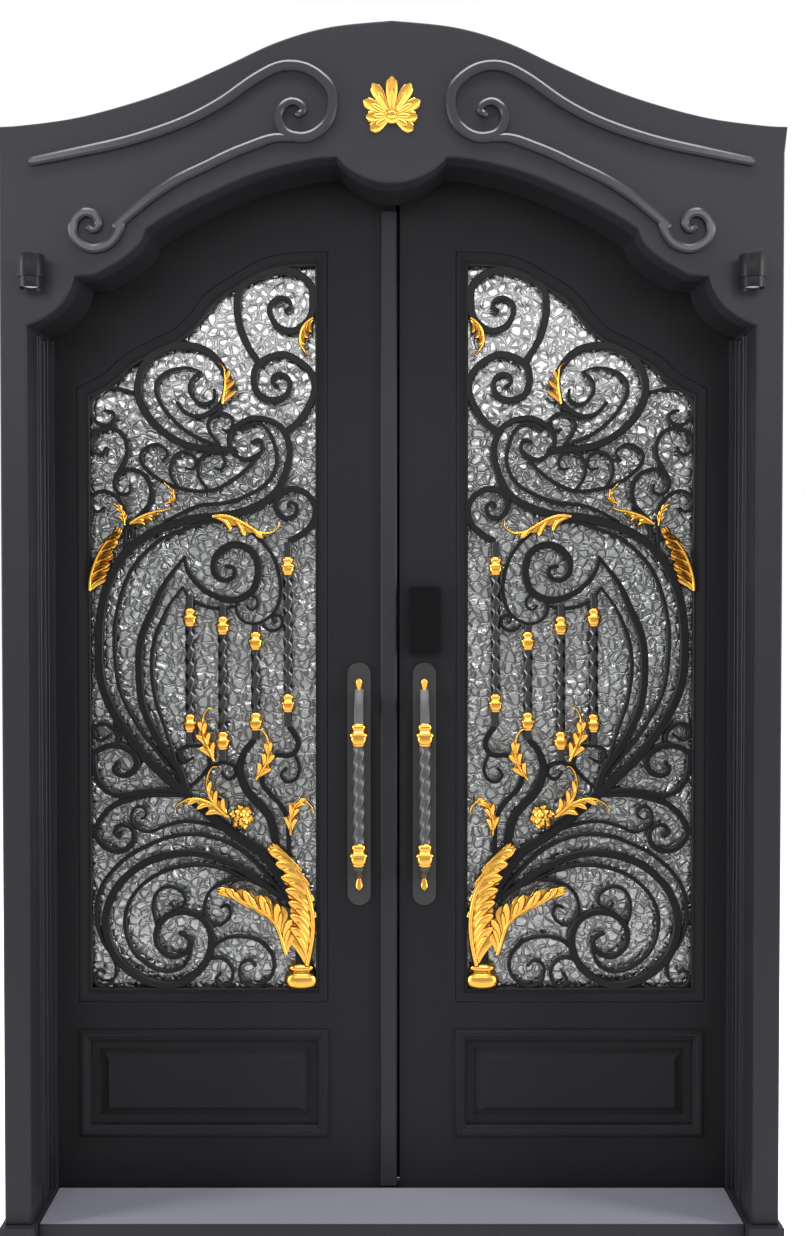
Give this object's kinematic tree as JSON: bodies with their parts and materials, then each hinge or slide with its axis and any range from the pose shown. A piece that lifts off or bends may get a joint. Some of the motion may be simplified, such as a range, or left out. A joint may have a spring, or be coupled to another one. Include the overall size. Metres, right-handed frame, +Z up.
{
  "type": "security door",
  "caption": "Double security door with an arched head, fluted jambs, two glazed leaves with scrolled iron lattices, gold foliage and twisted pull handles.",
  "frame": {"origin": "centre of the underside of the frame, on the underside of the sill, midway across the width and the depth of the frame", "axes": "+X to the right seen from outside, +Y inwards through the doorway, +Z up"},
  "size_m": [1.716, 0.4089, 2.669],
  "materials": {
    "antique_gold": "satin gold paint",
    "black_gloss": "gloss",
    "black_iron": "satin black",
    "charcoal_paint": "satin powder coat",
    "handle_black": "satin black",
    "handle_grey": "satin graphite",
    "hinge_steel": "brushed",
    "textured_glass": "patterned"
  },
  "bodies": {
    "frame": {"crest": "antique_gold", "downlights": "black_iron", "frame_hinges": "hinge_steel", "head_rail": "charcoal_paint", "head_scrolls": "charcoal_paint", "head_soffit": "charcoal_paint", "left_jamb": "charcoal_paint", "pediment": "charcoal_paint", "plinths": "charcoal_paint", "right_jamb": "charcoal_paint", "sill": "charcoal_paint"},
    "left_leaf": {"astragal": "charcoal_paint", "left_baluster_collars": "antique_gold", "left_balusters": "black_iron", "left_bottom_rail": "charcoal_paint", "left_front_handle": "handle_grey", "left_glass": "textured_glass", "left_gold_foliage": "antique_gold", "left_handle_collars": "antique_gold", "left_handle_plate": "handle_black", "left_hinge_stile": "charcoal_paint", "left_lattice": "black_iron", "left_leaf_hinges": "hinge_steel", "left_meeting_stile": "charcoal_paint", "left_raised_panels": "charcoal_paint", "left_rear_handle": "handle_grey", "left_top_rail": "charcoal_paint"},
    "right_leaf": {"front_lock": "black_gloss", "rear_lock": "black_gloss", "right_baluster_collars": "antique_gold", "right_balusters": "black_iron", "right_bottom_rail": "charcoal_paint", "right_front_handle": "handle_grey", "right_glass": "textured_glass", "right_gold_foliage": "antique_gold", "right_handle_collars": "antique_gold", "right_handle_plate": "handle_black", "right_hinge_stile": "charcoal_paint", "right_lattice": "black_iron", "right_leaf_hinges": "hinge_steel", "right_meeting_stile": "charcoal_paint", "right_raised_panels": "charcoal_paint", "right_rear_handle": "handle_grey", "right_top_rail": "charcoal_paint"}
  },
  "joints": [
    {"name": "left_leaf_hinge", "type": "hinge", "parent": "frame", "child": "left_leaf", "pos_m": [-0.802, 0.154, 0.95], "axis": [0, 0, 1], "range_deg": [0, 100]},
    {"name": "right_leaf_hinge", "type": "hinge", "parent": "frame", "child": "right_leaf", "pos_m": [0.802, 0.154, 0.95], "axis": [0, 0, -1], "range_deg": [0, 100]}
  ]
}
